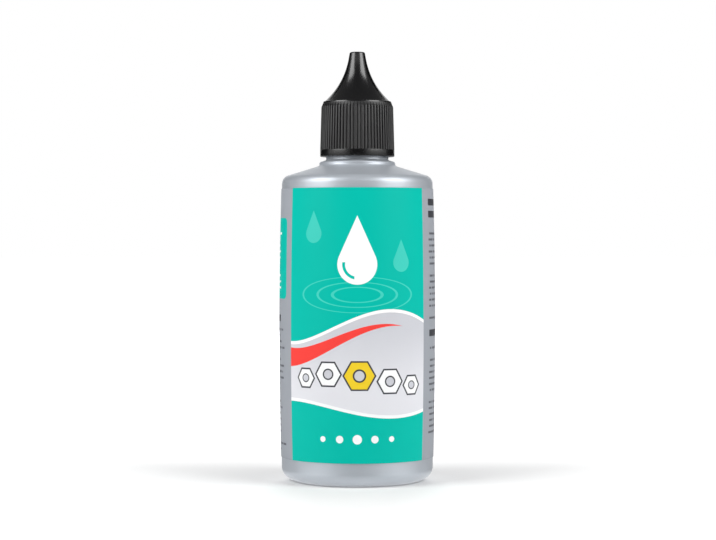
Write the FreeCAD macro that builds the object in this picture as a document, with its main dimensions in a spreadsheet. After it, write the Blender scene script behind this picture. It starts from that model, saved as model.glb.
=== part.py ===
import FreeCAD, Part
import math
import os
import re
import Sketcher

# A squeeze bottle for chain lubricant: a blown bottle, a dropper pressed into its neck,
# a pointed ribbed screw cap over the dropper, and a film label wrapped round the wall.
# The bottle stands on Z = 0 with its axis on Z, and the front of the label faces -Y.

# Driving dimensions in millimetres, each with the place where it is measured.
SIZES = [
    ("body_diameter", 44.25, "outside of the wall at mid-height"),
    ("body_bow", 0.68, "draw-in of the wall from mid-height to its two ends"),
    ("shoulder_height", 86.57, "corner where the wall meets the shoulder"),
    ("shoulder_rise", 3.25, "rise of the sloped shoulder up to the collar"),
    ("shoulder_round", 2.3, "radius between wall and shoulder"),
    ("heel_round", 5.0, "radius between wall and base"),
    ("ring_diameter", 28.0, "inside of the standing ring"),
    ("push_up", 1.6, "height of the hollow under the base"),
    ("push_up_diameter", 21.0, "flat roof of that hollow"),
    ("wall", 1.0, "thickness of the blown wall at heel and shoulder"),
    ("base_wall", 1.3, "thickness of the base"),
    ("collar_diameter", 21.6, "ring at the foot of the neck"),
    ("collar_height", 1.1, "upright side of that ring"),
    ("collar_cone", 0.52, "rise of its sloped top"),
    ("neck_foot_diameter", 17.8, "plain land at the foot of the neck"),
    ("neck_foot_height", 2.4, "height of that land"),
    ("neck_diameter", 15.6, "neck above the land"),
    ("neck_height", 13.25, "neck from the ring to the lip"),
    ("neck_bore", 12.0, "inside of the neck"),
    ("lip_bevel", 0.4, "bevel on the lip's outer edge"),
    ("plug_gap", 0.02, "play of the dropper's plug in the neck"),
    ("plug_length", 7.0, "length of the plug below the lip"),
    ("plug_wall", 1.2, "thickness of the plug"),
    ("plug_lead", 0.5, "chamfer that leads the plug in"),
    ("flange_diameter", 15.0, "flange that lies on the lip"),
    ("flange_thickness", 1.2, "thickness of that flange"),
    ("nozzle_foot_diameter", 9.0, "nozzle where it leaves the flange"),
    ("nozzle_tip_diameter", 2.2, "outer end of the nozzle"),
    ("nozzle_wall", 1.2, "thickness of the nozzle at its foot"),
    ("orifice_diameter", 1.2, "drop hole"),
    ("orifice_length", 2.0, "straight length of the drop hole"),
    ("cap_gap", 1.0, "free height between the ring and the cap"),
    ("bore_clearance", 0.35, "play of the cap round the neck's land"),
    ("seat_gap", 0.05, "play between the cap's roof and the flange"),
    ("band_diameter", 21.25, "plain band at the cap's lower edge"),
    ("band_height", 1.95, "height of that band"),
    ("band_bevel", 0.25, "bevel on the band's lower edge"),
    ("core_diameter", 20.4, "skirt between the ribs, at the band"),
    ("rim_diameter", 19.5, "plain rim above the ribs"),
    ("rim_height", 0.45, "height of that rim"),
    ("rim_bevel", 0.25, "bevel on the rim's upper edge"),
    ("rib_count", 66, "grip ribs round the skirt"),
    ("rib_width", 0.74, "width of a rib at its flanks"),
    ("rib_crest", 0.26, "width of a rib's crest"),
    ("rib_crown", 0.2, "drop from a rib's crest to its flanks"),
    ("rib_root", 0.3, "depth to which a rib is let into the skirt"),
    ("rib_foot_diameter", 21.2, "over the ribs at the band"),
    ("rib_head_diameter", 20.42, "over the ribs at the rim"),
    ("rib_head_drop", 1.0, "length over which the ribs bend in to the rim"),
    ("roof_thickness", 2.3, "cap from its inner seat up to the rim"),
    ("roof_ledge", 2.6, "width of the inner seat"),
    ("cone_height", 14.08, "pointed top above the rim"),
    ("cone_foot_diameter", 18.6, "foot of the pointed top"),
    ("cone_sweep", 21.3, "radius of its hollow flank"),
    ("cone_waist_diameter", 4.8, "where the flank meets the tip"),
    ("tip_length", 1.43, "tapered tip above the flank"),
    ("tip_diameter", 4.3, "closed end of the tip"),
    ("tip_bevel", 0.35, "bevel on the tip's edge"),
    ("tip_wall", 3.0, "solid end of the cap"),
    ("nozzle_clearance", 0.4, "play between the nozzle's end and the cap"),
    ("pin_clearance", 0.15, "play of the sealing pin in the drop hole"),
    ("pin_length", 0.8, "depth of the pin in the drop hole"),
    ("label_thickness", 0.12, "film"),
    ("label_gap", 0.04, "glue between wall and film"),
    ("label_foot", 6.92, "lower edge of the label"),
    ("label_head", 3.31, "upper edge of the label below the shoulder's corner"),
    ("label_seam", 1.0, "gap between the label's ends, at the back"),
]

# Heights and radii that follow from the driving dimensions, as formulas of the sheet.
FULL_TURN = 360
QUARTER_TURN = 90
END_RADIUS = "(body_diameter / 2 - body_bow)"
MID_HEIGHT = "(shoulder_height / 2)"
BOW_RADIUS = f"(({MID_HEIGHT}^2 + body_bow^2) / (2 * body_bow))"
BOW_CENTRE = f"(body_diameter / 2 - {BOW_RADIUS})"
COLLAR_RADIUS = "(collar_diameter / 2)"
SHOULDER_SLOPE = f"(shoulder_rise / ({END_RADIUS} - {COLLAR_RADIUS}))"
COLLAR_FOOT = "(shoulder_height + shoulder_rise)"
COLLAR_TOP = f"({COLLAR_FOOT} + collar_height)"
NECK_FOOT = f"({COLLAR_TOP} + collar_cone)"
LAND_TOP = f"({NECK_FOOT} + neck_foot_height)"
NECK_TOP = f"({NECK_FOOT} + neck_height)"
FLANGE_TOP = f"({NECK_TOP} + flange_thickness)"
CAP_FOOT = f"({NECK_FOOT} + cap_gap)"
BAND_TOP = f"({CAP_FOOT} + band_height)"
CEILING = f"({FLANGE_TOP} + seat_gap)"
RIM_TOP = f"({CEILING} + roof_thickness)"
RIB_TOP = f"({RIM_TOP} - rim_height)"
TIP_TOP = f"({RIM_TOP} + cone_height)"
HOLLOW_TOP = f"({TIP_TOP} - tip_wall)"
NOZZLE_TOP = f"({HOLLOW_TOP} - nozzle_clearance)"
CAP_BORE = "(neck_foot_diameter / 2 + bore_clearance)"
SKIRT_TAPER = f"((core_diameter - rim_diameter) / 2 / ({RIM_TOP} - {BAND_TOP}))"
RIB_LEAN = f"((rib_foot_diameter - rib_head_diameter) / 2 / ({RIB_TOP} - {BAND_TOP}))"
RIB_HEAD = f"(rib_head_diameter / 2 + {RIB_LEAN} * rib_head_drop)"
LABEL_TOP = "(shoulder_height - label_head)"

doc = FreeCAD.newDocument("chain_lube_bottle")
sheet = doc.addObject("Spreadsheet::Sheet", "Sizes")
for row, (alias, number, place) in enumerate(SIZES, start=1):
    sheet.set(f"A{row}", place)
    sheet.set(f"B{row}", str(number))
    sheet.setAlias(f"B{row}", alias)
doc.recompute()
ALIASES = {alias for alias, number, place in SIZES}


def size(formula):
    """Point each name in a formula at its cell of the sheet."""
    return re.sub(r"[a-z_]+", lambda found: cell(found.group()), formula)


def cell(word):
    return f"Sizes.{word}" if word in ALIASES else word


def value(formula):
    """Work out a formula with the sheet's present numbers."""
    return float(sheet.evalExpression(size(formula)))


def wall_radius(height, offset):
    """Radius of the bowed wall at a height, moved outwards by an offset."""
    reach = f"({BOW_RADIUS} + ({offset}))"
    return f"({BOW_CENTRE} + sqrt({reach}^2 - ({height} - {MID_HEIGHT})^2))"


def new_body(name):
    body = doc.addObject("PartDesign::Body", name)
    body.Label = name
    body.Placement = FreeCAD.Placement()
    return body


def attach(body, sketch, role):
    plane = next(item for item in body.Origin.OriginFeatures if item.Role == role)
    sketch.AttachmentSupport = (plane, [""])
    sketch.MapMode = "FlatFace"


def arc_between(start, end, radius, side):
    """Arc from start to end, its centre on the left (1) or right (-1) of the way."""
    chord = end - start
    left = FreeCAD.Vector(-chord.y, chord.x, 0).normalize()
    height = math.sqrt(max(radius**2 - (chord.Length / 2) ** 2, 0))
    centre = (start + end) * 0.5 + left * (side * height)
    first, last = (start, end) if side > 0 else (end, start)
    angles = [math.atan2(point.y - centre.y, point.x - centre.x) for point in (first, last)]
    if angles[1] < angles[0]:
        angles[1] += 2 * math.pi
    circle = Part.Circle(centre, FreeCAD.Vector(0, 0, 1), radius)
    return Part.ArcOfCircle(circle, angles[0], angles[1])


def bind(sketch, constraint, name, formula):
    """Add a named dimension to a sketch and drive it by a formula of the sheet."""
    number = sketch.addConstraint(constraint)
    sketch.renameConstraint(number, name)
    sketch.setExpression(f"Constraints.{name}", size(formula))


def fix(sketch, kind, edge, end, name, formula):
    """Hold one coordinate of a corner at a formula, or on the axis where it is zero."""
    if formula == "0":
        axis = -2 if kind == "DistanceX" else -1
        sketch.addConstraint(Sketcher.Constraint("PointOnObject", edge, end, axis))
    else:
        bind(sketch, Sketcher.Constraint(kind, -1, 1, edge, end, value(formula)), name, formula)


def outline(body, name, corners, arcs=None, rounds=None, plane="XZ_Plane"):
    """Closed outline through named corners.

    arcs gives the (radius, side) of the edge after a corner, rounds the radius on a corner.
    """
    arcs = arcs or {}
    rounds = rounds or {}
    sketch = body.newObject("Sketcher::SketchObject", name)
    attach(body, sketch, plane)
    points = [FreeCAD.Vector(value(across), value(up), 0) for corner, across, up in corners]
    ends = []
    for number, (corner, across, up) in enumerate(corners):
        start, end = points[number], points[(number + 1) % len(points)]
        if corner in arcs:
            radius, side = arcs[corner]
            sketch.addGeometry(arc_between(start, end, value(radius), side))
            ends.append((1, 2) if side > 0 else (2, 1))
        else:
            sketch.addGeometry(Part.LineSegment(start, end))
            ends.append((1, 2))
    for number, (corner, across, up) in enumerate(corners):
        after = (number + 1) % len(corners)
        sketch.addConstraint(
            Sketcher.Constraint("Coincident", number, ends[number][1], after, ends[after][0])
        )
        if corner in arcs:
            bind(sketch, Sketcher.Constraint("Radius", number, value(arcs[corner][0])),
                 f"{corner}_bend", arcs[corner][0])
    for number, (corner, across, up) in enumerate(corners):
        edge, end = number, ends[number][0]
        if corner in rounds:
            edge, end = round_corner(sketch, number, points, rounds[corner], corner)
        fix(sketch, "DistanceX", edge, end, f"{corner}_across", across)
        fix(sketch, "DistanceY", edge, end, f"{corner}_up", up)
    return sketch


def round_corner(sketch, number, points, radius, name):
    """Round a corner, and leave a point where its two edges would have met."""
    before = (number - 1) % len(points)
    after = (number + 1) % len(points)
    corner = points[number]
    reach = value(radius)
    back = corner + (points[before] - corner).normalize() * reach
    ahead = corner + (points[after] - corner).normalize() * reach
    sketch.fillet(before, number, back, ahead, reach, True, False)
    arc = sketch.GeometryCount - 1
    bind(sketch, Sketcher.Constraint("Radius", arc, reach), f"{name}_round", radius)
    mark = sketch.addGeometry(Part.Point(corner), True)
    for edge in (before, number):
        sketch.addConstraint(Sketcher.Constraint("PointOnObject", mark, 1, edge))
    return mark, 1


def turn(body, name, sketch, kind="PartDesign::Revolution"):
    """Turn an outline round the axis, to add a solid or to cut one away."""
    feature = body.newObject(kind, name)
    feature.Profile = sketch
    feature.ReferenceAxis = (sketch, ["V_Axis"])
    feature.Angle = FULL_TURN
    return feature


def hollow_out(body, name, sketch):
    """Cut a turned hollow and make sure that it took material away."""
    doc.recompute()
    before = body.Shape.Volume
    groove = turn(body, name, sketch, "PartDesign::Groove")
    doc.recompute()
    if body.Shape.Volume >= before:
        raise ValueError(f"{name} cut nothing")
    return groove


def bevel(body, name, radius, height, amount):
    """Bevel the circular edge that lies at a radius and height."""
    doc.recompute()
    before = body.Tip
    near = 1e-4
    found = []
    for number, edge in enumerate(before.Shape.Edges, start=1):
        if edge.Degenerated or not isinstance(edge.Curve, Part.Circle):
            continue
        miss = max(abs(edge.Curve.Radius - value(radius)), abs(edge.Curve.Center.z - value(height)))
        if miss < near:
            found.append(f"Edge{number}")
    if len(found) != 1:
        raise ValueError(f"{name} needs one edge and found {found}")
    feature = body.newObject("PartDesign::Chamfer", name)
    feature.Base = (before, found)
    feature.setExpression("Size", size(amount))


def make_bottle():
    body = new_body("bottle")
    outside = outline(
        body,
        "bottle_outside",
        [
            ("base_centre", "0", "push_up"),
            ("push_up_edge", "push_up_diameter / 2", "push_up"),
            ("ring", "ring_diameter / 2", "0"),
            ("heel", END_RADIUS, "0"),
            ("shoulder", END_RADIUS, "shoulder_height"),
            ("collar_foot", COLLAR_RADIUS, COLLAR_FOOT),
            ("collar_top", COLLAR_RADIUS, COLLAR_TOP),
            ("neck_foot", "neck_foot_diameter / 2", NECK_FOOT),
            ("land_top", "neck_foot_diameter / 2", LAND_TOP),
            ("neck", "neck_diameter / 2", LAND_TOP),
            ("lip", "neck_diameter / 2", NECK_TOP),
            ("lip_centre", "0", NECK_TOP),
        ],
        arcs={"heel": (BOW_RADIUS, 1)},
        rounds={"heel": "heel_round", "shoulder": "shoulder_round"},
    )
    turn(body, "bottle_blank", outside)
    bevel(body, "bottle_lip", "neck_diameter / 2", NECK_TOP, "lip_bevel")

    slant = "(heel_round - wall)"
    inner = f"({END_RADIUS} - wall)"
    head = f"(shoulder_height - wall + {SHOULDER_SLOPE} * wall)"
    throat = f"(shoulder_height - wall + {SHOULDER_SLOPE} * ({END_RADIUS} - neck_bore / 2))"
    inside = outline(
        body,
        "bottle_inside",
        [
            ("floor_centre", "0", "(push_up + base_wall)"),
            ("floor_edge", "push_up_diameter / 2", "(push_up + base_wall)"),
            ("floor_ring", "ring_diameter / 2", "base_wall"),
            ("floor_heel", f"({inner} - {slant})", "base_wall"),
            ("wall_foot", inner, f"(base_wall + {slant})"),
            ("under_shoulder", inner, head),
            ("throat", "neck_bore / 2", throat),
            ("mouth", "neck_bore / 2", NECK_TOP),
            ("mouth_centre", "0", NECK_TOP),
        ],
    )
    hollow_out(body, "bottle_cavity", inside)
    return body


def make_dropper():
    body = new_body("dropper_insert")
    plug = "(neck_bore / 2 - plug_gap)"
    plug_foot = f"({NECK_TOP} - plug_length)"
    bore = "(neck_bore / 2 - plug_gap - plug_wall)"
    section = outline(
        body,
        "dropper_section",
        [
            ("plug_foot", plug, plug_foot),
            ("plug_head", plug, NECK_TOP),
            ("flange_under", "flange_diameter / 2", NECK_TOP),
            ("flange_over", "flange_diameter / 2", FLANGE_TOP),
            ("nozzle_foot", "nozzle_foot_diameter / 2", FLANGE_TOP),
            ("nozzle_tip", "nozzle_tip_diameter / 2", NOZZLE_TOP),
            ("orifice_end", "orifice_diameter / 2", NOZZLE_TOP),
            ("orifice_start", "orifice_diameter / 2", f"({NOZZLE_TOP} - orifice_length)"),
            ("funnel_head", "(nozzle_foot_diameter / 2 - nozzle_wall)", FLANGE_TOP),
            ("funnel_foot", bore, NECK_TOP),
            ("bore_foot", bore, plug_foot),
        ],
    )
    turn(body, "dropper_turned", section)
    bevel(body, "plug_lead_in", plug, plug_foot, "plug_lead")
    return body


def add_ribs(body):
    """Grip ribs, each a straight bar that leans in with the tapered skirt."""
    flank = "(rib_foot_diameter / 2 - rib_crown)"
    root = "(core_diameter / 2 - rib_root)"
    section = outline(
        body,
        "rib_section",
        [
            ("root_right", root, "-rib_width / 2"),
            ("flank_right", flank, "-rib_width / 2"),
            ("crest_right", "rib_foot_diameter / 2", "-rib_crest / 2"),
            ("crest_left", "rib_foot_diameter / 2", "rib_crest / 2"),
            ("flank_left", flank, "rib_width / 2"),
            ("root_left", root, "rib_width / 2"),
        ],
        plane="XY_Plane",
    )
    section.setExpression("AttachmentOffset.Base.z", size(BAND_TOP))
    rib = body.newObject("PartDesign::Pad", "cap_rib")
    rib.Profile = section
    rib.UseCustomVector = True
    rib.Direction = FreeCAD.Vector(-value(RIB_LEAN), 0, 1)
    rib.setExpression("Direction.x", size(f"-{RIB_LEAN}"))
    rib.AlongSketchNormal = True
    rib.setExpression("Length", size(f"({RIB_TOP} - {BAND_TOP})"))
    doc.recompute()
    ribs = body.newObject("PartDesign::PolarPattern", "cap_ribs")
    ribs.Originals = [rib]
    ribs.Axis = (section, ["N_Axis"])
    ribs.Angle = FULL_TURN
    ribs.setExpression("Occurrences", size("rib_count"))
    body.Tip = ribs


def make_cap():
    body = new_body("cap")
    outside = outline(
        body,
        "cap_outside",
        [
            ("foot_centre", "0", CAP_FOOT),
            ("band_foot", "band_diameter / 2", CAP_FOOT),
            ("band_head", "band_diameter / 2", BAND_TOP),
            ("skirt_foot", "core_diameter / 2", BAND_TOP),
            ("rim", "rim_diameter / 2", RIM_TOP),
            ("cone_foot", "cone_foot_diameter / 2", RIM_TOP),
            ("waist", "cone_waist_diameter / 2", f"({TIP_TOP} - tip_length)"),
            ("tip", "tip_diameter / 2", TIP_TOP),
            ("tip_centre", "0", TIP_TOP),
        ],
        arcs={"cone_foot": ("cone_sweep", -1)},
    )
    turn(body, "cap_blank", outside)
    bevel(body, "cap_band", "band_diameter / 2", CAP_FOOT, "band_bevel")
    bevel(body, "cap_rim", "rim_diameter / 2", RIM_TOP, "rim_bevel")
    bevel(body, "cap_tip", "tip_diameter / 2", TIP_TOP, "tip_bevel")
    add_ribs(body)

    rim_side = f"(rim_diameter / 2 + {SKIRT_TAPER} * rim_height)"
    beyond = "(band_diameter / 2)"
    above = f"({RIB_TOP} + rim_height / 2)"
    heads = outline(
        body,
        "rib_head_outline",
        [
            ("rib_start", rim_side, RIB_TOP),
            ("rib_crest", RIB_HEAD, f"({RIB_TOP} - rib_head_drop)"),
            ("beyond_foot", beyond, f"({RIB_TOP} - rib_head_drop)"),
            ("beyond_head", beyond, above),
            ("rim_side", rim_side, above),
        ],
    )
    hollow_out(body, "rib_heads", heads)

    pin = "(orifice_diameter / 2 - pin_clearance)"
    inside = outline(
        body,
        "cap_inside",
        [
            ("mouth_centre", "0", CAP_FOOT),
            ("mouth", CAP_BORE, CAP_FOOT),
            ("seat_outer", CAP_BORE, CEILING),
            ("seat_inner", f"({CAP_BORE} - roof_ledge)", CEILING),
            ("hollow_top", "(nozzle_tip_diameter / 2 + nozzle_clearance)", HOLLOW_TOP),
            ("pin_root", pin, HOLLOW_TOP),
            ("pin_end", pin, f"({NOZZLE_TOP} - pin_length)"),
            ("pin_centre", "0", f"({NOZZLE_TOP} - pin_length)"),
        ],
    )
    hollow_out(body, "cap_hollow", inside)
    return body


def make_label():
    body = new_body("label")
    film = "(label_gap + label_thickness)"
    section = outline(
        body,
        "label_section",
        [
            ("glue_foot", wall_radius("label_foot", "label_gap"), "label_foot"),
            ("film_foot", wall_radius("label_foot", film), "label_foot"),
            ("film_head", wall_radius(LABEL_TOP, film), LABEL_TOP),
            ("glue_head", wall_radius(LABEL_TOP, "label_gap"), LABEL_TOP),
        ],
        arcs={
            "film_foot": (f"({BOW_RADIUS} + {film})", 1),
            "glue_head": (f"({BOW_RADIUS} + label_gap)", -1),
        },
    )
    wrap = turn(body, "label_wrap", section)
    wrap.Midplane = True
    wrap.setExpression("Angle", size(f"{FULL_TURN} * (1 - label_seam / (pi * body_diameter))"))
    # The open seam lies opposite the outline's plane and is turned to the back, +Y.
    to_back = FreeCAD.Rotation(FreeCAD.Vector(0, 0, 1), -QUARTER_TURN)
    body.Placement = FreeCAD.Placement(FreeCAD.Vector(), to_back)
    return body


def check(pieces):
    """Stop if any feature failed or a piece is not one sound solid."""
    doc.recompute()
    for item in doc.Objects:
        if "Invalid" in item.State or "Error" in item.State:
            raise ValueError(f"{item.Label} failed: {item.State}")
    for piece in pieces:
        shape = piece.Shape
        if shape.isNull() or not shape.isValid() or len(shape.Solids) != 1:
            raise ValueError(f"{piece.Label} is not one sound solid")


pieces = [make_bottle(), make_dropper(), make_cap(), make_label()]
check(pieces)
os.makedirs("parts", exist_ok=True)
for piece in pieces:
    box = piece.Shape.optimalBoundingBox(False)
    print(f"{piece.Label}: {piece.Shape.Volume:.1f} mm3, Z {box.ZMin:.2f} to {box.ZMax:.2f}, "
          f"X {box.XMin:.2f} to {box.XMax:.2f}, {len(piece.Shape.Faces)} faces")
    piece.Shape.exportStep(f"parts/{piece.Label}.step")
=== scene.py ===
# %% [markdown]
# A dropper bottle for chain lubricant: a blown silver bottle, a wrapped film label, a pressed-in dropper and
# a pointed black screw cap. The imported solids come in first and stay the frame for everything: each piece
# below is modelled in metres in their place, so nothing is fitted afterwards.

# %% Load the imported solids
import math

import bmesh
import bpy
from mathutils import Matrix, Vector


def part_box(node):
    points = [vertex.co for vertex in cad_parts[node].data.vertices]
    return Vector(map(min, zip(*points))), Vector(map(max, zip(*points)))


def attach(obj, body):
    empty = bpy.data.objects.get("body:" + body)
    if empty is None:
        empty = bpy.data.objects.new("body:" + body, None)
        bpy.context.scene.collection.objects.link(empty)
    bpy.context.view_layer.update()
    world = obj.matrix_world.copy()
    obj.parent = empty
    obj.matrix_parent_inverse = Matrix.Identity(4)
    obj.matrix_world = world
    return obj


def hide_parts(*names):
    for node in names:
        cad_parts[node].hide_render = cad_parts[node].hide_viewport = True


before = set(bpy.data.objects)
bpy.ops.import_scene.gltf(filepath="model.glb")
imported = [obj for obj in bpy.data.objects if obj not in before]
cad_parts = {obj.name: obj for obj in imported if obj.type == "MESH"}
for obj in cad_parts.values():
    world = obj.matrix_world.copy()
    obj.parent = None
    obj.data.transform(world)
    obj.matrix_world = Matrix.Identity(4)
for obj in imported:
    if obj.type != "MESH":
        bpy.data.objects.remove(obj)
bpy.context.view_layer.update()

# %% [markdown]
# The solids give the heights and radii that the pieces have to keep. Only the fine sizes, such as a small
# round or a thread, are chosen here. All sizes are in millimetres, the unit that a bottle maker uses, and MM
# turns them into Blender's metres.

# %% Read the main sizes from the frame
MM = 0.001


def span(node):
    """Largest radius, lowest height and highest height of a solid, in millimetres."""
    low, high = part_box(node)
    return high.x / MM, low.z / MM, high.z / MM


BODY_RADIUS, BODY_FOOT, NECK_TOP = span("bottle")
LABEL_RADIUS, LABEL_FOOT, LABEL_TOP = span("label")
BAND_RADIUS, CAP_FOOT, TIP_TOP = span("cap")
FLANGE_RADIUS, PLUG_FOOT, NOZZLE_TOP = span("dropper_insert")
print(f"bottle radius {BODY_RADIUS:.2f}, neck top {NECK_TOP:.2f}, cap {CAP_FOOT:.2f} to {TIP_TOP:.2f}")

# %% [markdown]
# Bottle, cap and dropper are all round, so each starts as half of its section, a wire of a few corners beside
# the axis. A vertex bevel rounds the corners, and an edge that is bowed on the real piece is cut and pushed
# out. A curve object would do as well, but a wire in a bmesh can be spun, cut and extended at once.

# %% Wires with round corners and bowed edges
ROUND_STEP = math.radians(12)
BOW_CUTS = 24


def arch(share):
    """Height of a shallow arch: 0 at its ends and 1 in its middle."""
    return 4 * share * (1 - share)


def bow_out(bm, start, end, bow):
    """Cut the edge between two corners and push it out to the side by up to bow."""
    first, along = start.co.copy(), end.co - start.co
    aside = Vector((along.z, 0, -along.x)).normalized()
    last = start
    for cut in range(1, BOW_CUTS):
        share = cut / BOW_CUTS
        edge = bm.edges.get((last, end))
        last = bmesh.utils.edge_split(edge, last, 0.5)[1]
        last.co = first + along * share + aside * (bow * MM * arch(share))


def round_off(bm, vert, radius):
    """Round a corner of a wire with an arc that touches both of its edges."""
    arms = [edge.other_vert(vert).co - vert.co for edge in vert.link_edges]
    bend = math.pi - arms[0].angle(arms[1])
    bmesh.ops.bevel(
        bm,
        geom=[vert],
        offset=radius * MM * math.tan(bend / 2),
        segments=max(2, round(bend / ROUND_STEP)),
        profile=0.5,
        affect="VERTICES",
        material=-1,
    )


def section(corners, closed=False):
    """A wire through corners of radius and height; a third number rounds one, a fourth bows its next edge."""
    bm = bmesh.new()
    rows = [(*corner, 0, 0)[:4] for corner in corners]
    verts = [bm.verts.new((radius * MM, 0, height * MM)) for radius, height, rounding, bow in rows]
    ways = list(zip(verts, verts[1:]))
    if closed:
        ways.append((verts[-1], verts[0]))
    for way in ways:
        bm.edges.new(way)
    for (start, end), (radius, height, rounding, bow) in zip(ways, rows):
        if bow:
            bow_out(bm, start, end, bow)
    for vert, (radius, height, rounding, bow) in zip(verts, rows):
        if rounding:
            round_off(bm, vert, rounding)
    return bm


print("a right angle is rounded in", round(math.pi / 2 / ROUND_STEP), "steps")

# %% [markdown]
# A spin turns a wire into a piece, and the piece is then handed over. It is shaded smooth, with sharp edges
# where faces meet at a larger angle, it rides on its body, and it stands for one solid of the frame. A
# revolve modifier would turn the wire as well, but a spun mesh can still be cut. The count of open edges
# shows at once whether a shape is closed.

# %% Turn a wire and finish a piece
TURN_STEPS = 144
MERGE = 1e-7
SMOOTH_UP_TO = math.radians(32)


def turn(bm, angle=2 * math.pi, steps=TURN_STEPS):
    """Spin everything in a bmesh round the Z axis."""
    full = angle >= 2 * math.pi
    geom = bm.verts[:] + bm.edges[:]
    bmesh.ops.spin(bm, geom=geom, axis=(0, 0, 1), cent=(0, 0, 0), angle=angle, steps=steps, use_merge=full)
    bmesh.ops.remove_doubles(bm, verts=bm.verts, dist=MERGE)
    bmesh.ops.recalc_face_normals(bm, faces=bm.faces)


def finished(bm, name, body, node):
    """Make an object of a bmesh, smooth it, and let it stand for a solid on its body."""
    open_edges = sum(1 for edge in bm.edges if len(edge.link_faces) != 2)
    mesh = bpy.data.meshes.new(name)
    bm.to_mesh(mesh)
    bm.free()
    mesh.polygons.foreach_set("use_smooth", [True] * len(mesh.polygons))
    mesh.set_sharp_from_angle(angle=SMOOTH_UP_TO)
    piece = bpy.data.objects.new(name, mesh)
    bpy.context.scene.collection.objects.link(piece)
    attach(piece, body)
    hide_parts(node)
    triangles = sum(len(polygon.vertices) - 2 for polygon in mesh.polygons)
    print(f"{name}: {triangles} triangles, {open_edges} open edges")
    return piece


print("a full turn has", TURN_STEPS, "steps")

# %% [markdown]
# The bottle is blown in a mould of two halves. Its wall bows out a little, its heel and shoulder are well
# rounded, and a small ring marks the foot of the neck. Two shells could be joined at the lip, but here
# outside and inside are one wire, from the middle of the base up to the lip and down again, so the wall has
# its real thickness everywhere.

# %% Bottle section
BOW = 0.68
NECK_HEIGHT = 13.25
LAND_HEIGHT = 2.4
COLLAR_CONE = 0.52
COLLAR_SIDE = 1.1
SHOULDER_RISE = 3.25
COLLAR_RADIUS = 10.8
LAND_RADIUS = 8.9
NECK_RADIUS = 7.8
MOUTH_RADIUS = 6.0
RING_RADIUS = 14.0
PUSH_UP_RADIUS = 10.5
PUSH_UP = 1.6
WALL = 1.0
BASE_WALL = 1.3
HEEL_ROUND = 5.0

END_RADIUS = BODY_RADIUS - BOW
INNER_RADIUS = END_RADIUS - WALL
NECK_FOOT = NECK_TOP - NECK_HEIGHT
LAND_TOP = NECK_FOOT + LAND_HEIGHT
COLLAR_TOP = NECK_FOOT - COLLAR_CONE
COLLAR_FOOT = COLLAR_TOP - COLLAR_SIDE
SHOULDER = COLLAR_FOOT - SHOULDER_RISE
SLOPE = SHOULDER_RISE / (END_RADIUS - COLLAR_RADIUS)
ROOF = SHOULDER - WALL

# Radius, height and round of each corner, up the outside and down the inside.
bottle_mesh = section([
    (0, PUSH_UP),
    (PUSH_UP_RADIUS, PUSH_UP, 1.5),
    (RING_RADIUS, BODY_FOOT, 1.2),
    (END_RADIUS, BODY_FOOT, HEEL_ROUND, BOW),
    (END_RADIUS, SHOULDER, 2.3),
    (COLLAR_RADIUS, COLLAR_FOOT, 0.7),
    (COLLAR_RADIUS, COLLAR_TOP, 0.55),
    (LAND_RADIUS, NECK_FOOT, 0.35),
    (LAND_RADIUS, LAND_TOP, 0.2),
    (NECK_RADIUS, LAND_TOP, 0.2),
    (NECK_RADIUS, NECK_TOP, 0.4),
    (MOUTH_RADIUS, NECK_TOP, 0.15),
    (MOUTH_RADIUS, ROOF + SLOPE * (END_RADIUS - MOUTH_RADIUS), 2.0),
    (INNER_RADIUS, ROOF + SLOPE * WALL, 2.0),
    (INNER_RADIUS, BASE_WALL, HEEL_ROUND - WALL),
    (RING_RADIUS, BASE_WALL, 1.0),
    (PUSH_UP_RADIUS, PUSH_UP + BASE_WALL, 1.0),
    (0, PUSH_UP + BASE_WALL),
])
turn(bottle_mesh)
print("bottle:", len(bottle_mesh.faces), "faces")

# %% [markdown]
# Where the two halves of the mould met, a fine line runs over the shoulder and down the heel. A thin strip
# could be laid on, but raising the bottle's own vertices leaves no gap. Cuts on both sides of the plane keep
# the line narrow. It stops short of the label, which lies flat on the wall.

# %% Parting line of the mould
LINE_CUTS = (-2, -1, 1, 2)
LINE_HALF_WIDTH = 0.12
LINE_RISE = 0.03
LABEL_CLEAR = 0.8
FACES_OUT = 0.2

for cut in LINE_CUTS:
    bmesh.ops.bisect_plane(
        bottle_mesh,
        geom=bottle_mesh.verts[:] + bottle_mesh.edges[:] + bottle_mesh.faces[:],
        dist=MERGE,
        plane_co=(0, cut * LINE_HALF_WIDTH * MM, 0),
        plane_no=(0, 1, 0),
    )
bottle_mesh.normal_update()
raised = 0
for vert in bottle_mesh.verts:
    height = vert.co.z / MM
    outwards = vert.normal.x * math.copysign(1, vert.co.x)
    on_line = abs(vert.co.y) < MERGE and outwards > FACES_OUT
    beside_label = LABEL_FOOT - LABEL_CLEAR < height < LABEL_TOP + LABEL_CLEAR
    if on_line and height < NECK_FOOT and not beside_label:
        vert.co += vert.normal * (LINE_RISE * MM)
        raised += 1
print("parting line:", raised, "raised vertices")

# %% [markdown]
# A screw thread is a ridge that climbs as it turns. A Screw modifier could make it, but spin can climb too:
# given a small step along the axis, it sweeps a ridge's section up the neck, and its vertices can be moved
# afterwards. So the ends sink into the neck, and the cap finds its way on.

# %% Screw thread
PITCH = 3.0
THREAD_STEPS = 72
RIDGE_FOOT = 1.3
RIDGE_CREST = 0.7
RIDGE_SINK = 0.1
RUN_OUT = 0.12
LEAST_RIDGE = 1e-3


def add_to(bm, extra):
    """Add a closed bmesh to another one."""
    bmesh.ops.recalc_face_normals(extra, faces=extra.faces)
    mesh = bpy.data.meshes.new("extra")
    extra.to_mesh(mesh)
    extra.free()
    bm.from_mesh(mesh)
    bpy.data.meshes.remove(mesh)


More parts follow.
